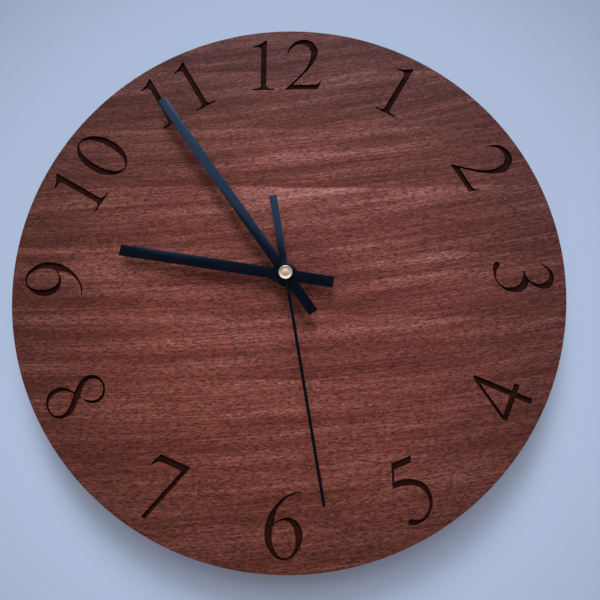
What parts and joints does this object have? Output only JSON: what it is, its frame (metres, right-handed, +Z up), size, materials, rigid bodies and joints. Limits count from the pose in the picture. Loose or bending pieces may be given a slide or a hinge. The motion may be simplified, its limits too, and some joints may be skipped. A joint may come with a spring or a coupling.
{
  "type": "wall clock",
  "caption": "Round solid-wood wall clock with engraved hour figures, black baton hands and a battery quartz movement let into its back.",
  "frame": {"origin": "on the hand axis, in the wall plane behind the dial board", "axes": "+Z up to twelve o'clock, -Y out of the dial to the viewer, +X to three o'clock"},
  "size_m": [0.3, 0.0342, 0.3],
  "materials": {
    "sapele": "oiled, satin",
    "black_lacquer": "stamped sheet under satin black lacquer",
    "brass": "turned",
    "steel": "zinc plated",
    "black_abs": "moulded",
    "rubber": "matte",
    "white_acetal": "moulded",
    "copper": "enamelled copper wire",
    "board_laminate": "phenolic laminate",
    "epoxy": "poured resin",
    "magnet": "sintered",
    "cell_jacket": "plain sleeve over a zinc can"
  },
  "bodies": {
    "clock_body": {"wooden_dial": "sapele", "hanger_plate": "steel", "hanger_screw_left": "steel", "hanger_screw_right": "steel", "threaded_bush": "brass", "rubber_gasket": "rubber", "brass_washer": "brass", "hex_nut": "brass", "front_case": "black_abs", "gear_bridge": "black_abs", "rear_cover": "black_abs", "stator": "steel", "coil_core": "steel", "coil_bobbin": "white_acetal", "coil_winding": "copper", "motor_screw_left": "steel", "motor_screw_right": "steel", "circuit_board": "board_laminate", "quartz_crystal": "steel", "chip_bead": "epoxy", "cell": "cell_jacket", "positive_contact": "steel", "negative_contact": "steel"},
    "second_hand_body": {"second_wheel": "white_acetal", "second_hand": "black_lacquer", "second_hand_ferrule": "brass"},
    "minute_hand_body": {"minute_arbor": "brass", "minute_hand": "black_lacquer", "minute_hand_collar": "black_lacquer"},
    "hour_hand_body": {"hour_wheel": "white_acetal", "hour_hand": "black_lacquer", "hour_hand_collar": "black_lacquer"},
    "rotor_body": {"rotor": "white_acetal", "rotor_magnet": "magnet"},
    "intermediate_wheel_body": {"intermediate_wheel": "white_acetal"},
    "third_wheel_body": {"third_wheel": "white_acetal"},
    "centre_wheel_body": {"centre_wheel": "white_acetal"},
    "minute_wheel_body": {"minute_wheel": "white_acetal"},
    "setting_knob_body": {"setting_knob": "black_abs"}
  },
  "joints": [
    {"name": "second_hand_turn", "type": "hinge", "parent": "clock_body", "child": "second_hand_body", "pos_m": [0, 0, 0], "axis": [0, 1, 0], "continuous": true},
    {"name": "minute_hand_turn", "type": "hinge", "parent": "clock_body", "child": "minute_hand_body", "pos_m": [0, 0, 0], "axis": [0, 1, 0], "continuous": true},
    {"name": "hour_hand_turn", "type": "hinge", "parent": "clock_body", "child": "hour_hand_body", "pos_m": [0, 0, 0], "axis": [0, 1, 0], "continuous": true},
    {"name": "rotor_turn", "type": "hinge", "parent": "clock_body", "child": "rotor_body", "pos_m": [-0.01053, 0, 0.01401], "axis": [0, 1, 0], "continuous": true},
    {"name": "intermediate_wheel_turn", "type": "hinge", "parent": "clock_body", "child": "intermediate_wheel_body", "pos_m": [-0.00476, 0, 0.00824], "axis": [0, 1, 0], "continuous": true},
    {"name": "third_wheel_turn", "type": "hinge", "parent": "clock_body", "child": "third_wheel_body", "pos_m": [0.01054, 0, 0.00384], "axis": [0, 1, 0], "continuous": true},
    {"name": "centre_wheel_turn", "type": "hinge", "parent": "clock_body", "child": "centre_wheel_body", "pos_m": [0, 0, 0], "axis": [0, 1, 0], "continuous": true},
    {"name": "minute_wheel_turn", "type": "hinge", "parent": "clock_body", "child": "minute_wheel_body", "pos_m": [-0.00939, 0, -0.002], "axis": [0, 1, 0], "continuous": true},
    {"name": "setting_knob_turn", "type": "hinge", "parent": "clock_body", "child": "setting_knob_body", "pos_m": [-0.01895, 0, -0.00116], "axis": [0, 1, 0], "continuous": true}
  ],
  "couplings": [
    {"joint": "intermediate_wheel_turn", "follows": "second_hand_turn", "ratio": -6},
    {"joint": "rotor_turn", "follows": "second_hand_turn", "ratio": 30},
    {"joint": "third_wheel_turn", "follows": "second_hand_turn", "ratio": -0.13333},
    {"joint": "centre_wheel_turn", "follows": "second_hand_turn", "ratio": 0.016667},
    {"joint": "minute_wheel_turn", "follows": "minute_hand_turn", "ratio": -0.33333},
    {"joint": "hour_hand_turn", "follows": "minute_hand_turn", "ratio": 0.083333},
    {"joint": "setting_knob_turn", "follows": "minute_hand_turn", "ratio": 1}
  ]
}
